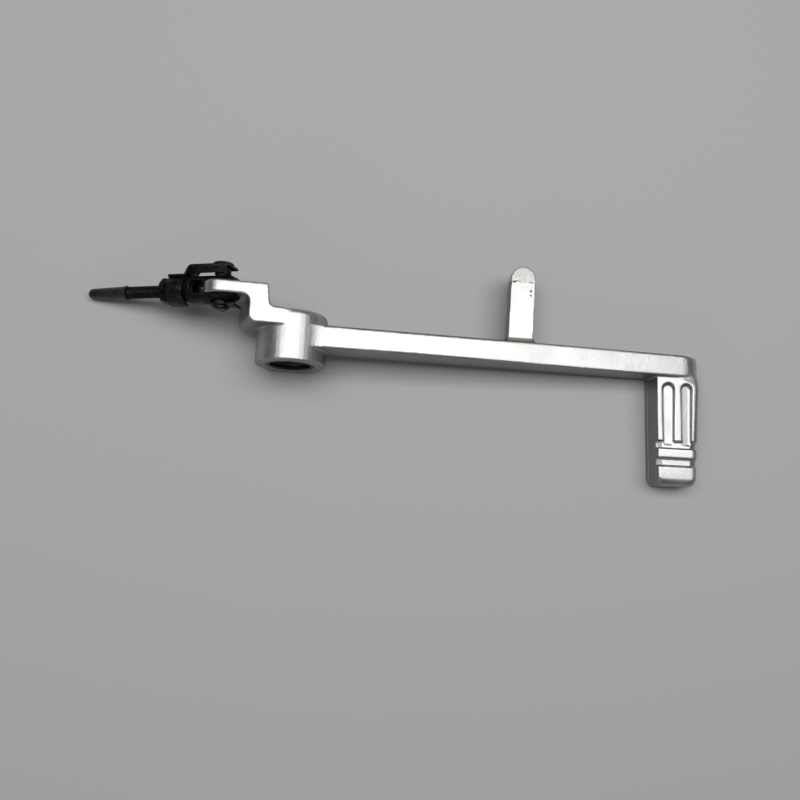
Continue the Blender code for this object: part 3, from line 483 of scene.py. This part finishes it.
def threadTree(finish):
    tree = bpy.data.node_groups.new("screwThread", "GeometryNodeTree")
    face = tree.interface
    face.new_socket("Geometry", in_out="INPUT", socket_type="NodeSocketGeometry")
    for name in ("Radius", "Root depth", "Pitch", "Length", "Shoulder", "Spigot radius", "Chamfer"):
        face.new_socket(name, in_out="INPUT", socket_type="NodeSocketFloat")
    for name in ("Sides", "Stations"):
        face.new_socket(name, in_out="INPUT", socket_type="NodeSocketInt")
    face.new_socket("Geometry", in_out="OUTPUT", socket_type="NodeSocketGeometry")
    nodes, links = tree.nodes, tree.links
    given = nodes.new("NodeGroupInput").outputs

    def sums(how, first, second=None):
        made = nodes.new("ShaderNodeMath")
        made.operation = how
        for socket, value in zip(made.inputs, (first, second)):
            if isinstance(value, (int, float)):
                socket.default_value = value
            elif value is not None:
                links.new(value, socket)
        return made.outputs["Value"]

    blank = nodes.new("GeometryNodeMeshCylinder")
    links.new(given["Sides"], blank.inputs["Vertices"])
    links.new(given["Stations"], blank.inputs["Side Segments"])
    links.new(given["Radius"], blank.inputs["Radius"])
    links.new(given["Length"], blank.inputs["Depth"])
    where = nodes.new("GeometryNodeInputPosition")
    axes = nodes.new("ShaderNodeSeparateXYZ")
    links.new(where.outputs["Position"], axes.inputs["Vector"])
    along = sums("ADD", axes.outputs["Z"], sums("MULTIPLY", given["Length"], 0.5))
    angle = sums("DIVIDE", sums("ARCTAN2", axes.outputs["Y"], axes.outputs["X"]), 2 * pi)
    phase = sums("FRACT", sums("SUBTRACT", sums("DIVIDE", along, given["Pitch"]), angle))
    ridge = sums("ABSOLUTE", sums("SUBTRACT", sums("MULTIPLY", phase, 2), 1))
    crest = nodes.new("ShaderNodeMapRange")
    crest.interpolation_type = "SMOOTHSTEP"
    crest.inputs["From Min"].default_value = 0.10
    crest.inputs["From Max"].default_value = 0.86
    links.new(ridge, crest.inputs["Value"])
    cut = sums("MULTIPLY", sums("SUBTRACT", 1, crest.outputs["Result"]), given["Root depth"])
    threaded = sums("SUBTRACT", given["Radius"], cut)
    # the thread fades out at both ends, and the spigot starts at the shoulder
    toStart = sums("ADD", along, sums("SUBTRACT", given["Radius"], given["Chamfer"]))
    toEnd = sums("ADD", sums("SUBTRACT", given["Shoulder"], along),
                 sums("SUBTRACT", given["Radius"], given["Chamfer"]))
    shank = sums("MINIMUM", sums("MINIMUM", threaded, toStart), toEnd)
    beyond = sums("GREATER_THAN", along, given["Shoulder"])
    radius = nodes.new("ShaderNodeMix")
    links.new(beyond, radius.inputs["Factor"])
    links.new(shank, radius.inputs["A"])
    links.new(given["Spigot radius"], radius.inputs["B"])
    share = sums("DIVIDE", radius.outputs["Result"], given["Radius"])
    place = nodes.new("ShaderNodeCombineXYZ")
    links.new(sums("MULTIPLY", axes.outputs["X"], share), place.inputs["X"])
    links.new(sums("MULTIPLY", axes.outputs["Y"], share), place.inputs["Y"])
    links.new(along, place.inputs["Z"])
    move = nodes.new("GeometryNodeSetPosition")
    links.new(blank.outputs["Mesh"], move.inputs["Geometry"])
    links.new(place.outputs["Vector"], move.inputs["Position"])
    smooth = nodes.new("GeometryNodeSetShadeSmooth")
    links.new(move.outputs["Geometry"], smooth.inputs["Geometry"])
    real = nodes.new("GeometryNodeRealizeInstances")
    links.new(smooth.outputs["Geometry"], real.inputs["Geometry"])
    paint = nodes.new("GeometryNodeSetMaterial")
    paint.inputs["Material"].default_value = finish
    links.new(real.outputs["Geometry"], paint.inputs["Geometry"])
    out = nodes.new("NodeGroupOutput")
    links.new(paint.outputs["Geometry"], out.inputs["Geometry"])
    return tree


# how far a node's solid starts and ends from the pin, measured along the rod
def alongRod(node):
    reach = [(v.co - pinCentre).dot(rodAxis) for v in frame["nodes"][node].data.vertices]
    return min(reach), max(reach)


def makeRod():
    finish = threadFinish()
    start, end = alongRod("adjuster_rod")
    shoulder = alongRod("rod_cap")[0] - 0.0003
    sizes = {
        "Radius": rodForm["radius"], "Root depth": rodForm["rootDepth"], "Pitch": rodForm["pitch"],
        "Length": end - start, "Shoulder": shoulder - start, "Spigot radius": rodForm["spigotRadius"],
        "Chamfer": rodForm["chamfer"], "Sides": rodForm["sides"],
        "Stations": round((end - start) / rodForm["pitch"] * rodForm["stepsPerPitch"]),
    }
    piece = meshPiece("adjuster_rod_threaded", bpy.data.meshes.new("adjuster_rod_threaded"))
    modifier = piece.modifiers.new("thread", "NODES")
    modifier.node_group = threadTree(finish)
    for item in modifier.node_group.interface.items_tree:
        if item.in_out == "INPUT" and item.name in sizes:
            modifier[item.identifier] = sizes[item.name]
    settle(piece)
    upright = rodAxis.to_track_quat("Z", "Y").to_matrix().to_4x4()
    piece.data.transform(Matrix.Translation(pinCentre + rodAxis * start) @ upright)
    print("rod:", len(piece.data.polygons), "faces")
    return dress(piece, finish, "rod", "brown_thread", "adjuster_rod")


# build

print("camera and studio")
makeCamera()
makeStudio()
print("lever casting")
makeLever()
print("rod")
makeRod()
print("link pieces")
oiled = oiledSteelFinish("oiledBlackSteel", blackOil["steel"], blackOil["film"], blackOil["bare"])
spring = oiledSteelFinish("oiledSpringSteel", springSteel["steel"], springSteel["film"], springSteel["bare"])
pinSteel = oiledSteelFinish("darkPinSteel", barePin["steel"], barePin["film"], barePin["bare"])
bearing = bearingFinish()
rubber = sealFinish()
softened("clevis_fork_oiled", "clevis_fork", 0.00035, oiled, "clevis", "blackened_steel")
softened("lock_nut_oiled", "lock_nut", 0.00020, oiled, "nut", "blackened_steel")
softened("clevis_pin_worn", "clevis_pin", 0.00015, pinSteel, "pin", "dark_pin_steel")
softened("retaining_ring_worn", "retaining_ring", 0.00012, pinSteel, "pin", "dark_pin_steel")
softened("locking_clip_sprung", "locking_clip", 0.00022, spring, "pin", "clip_spring_steel")
softened("pin_washer_sprung", "pin_washer", 0.00012, spring, "pin", "clip_spring_steel")
softened("rod_cap_smooth", "rod_cap", 0.00025, capFinish(), "rod", "black_cap")
for node in ("front_pivot_bush", "rear_pivot_bush", "eye_bush"):
    softened(node + "_greased", node, 0.00010, bearing, "lever", "bush_steel")
for node in ("front_dust_seal", "rear_dust_seal"):
    softened(node + "_lipped", node, 0.00010, rubber, "lever", "seal_rubber")

print("done")
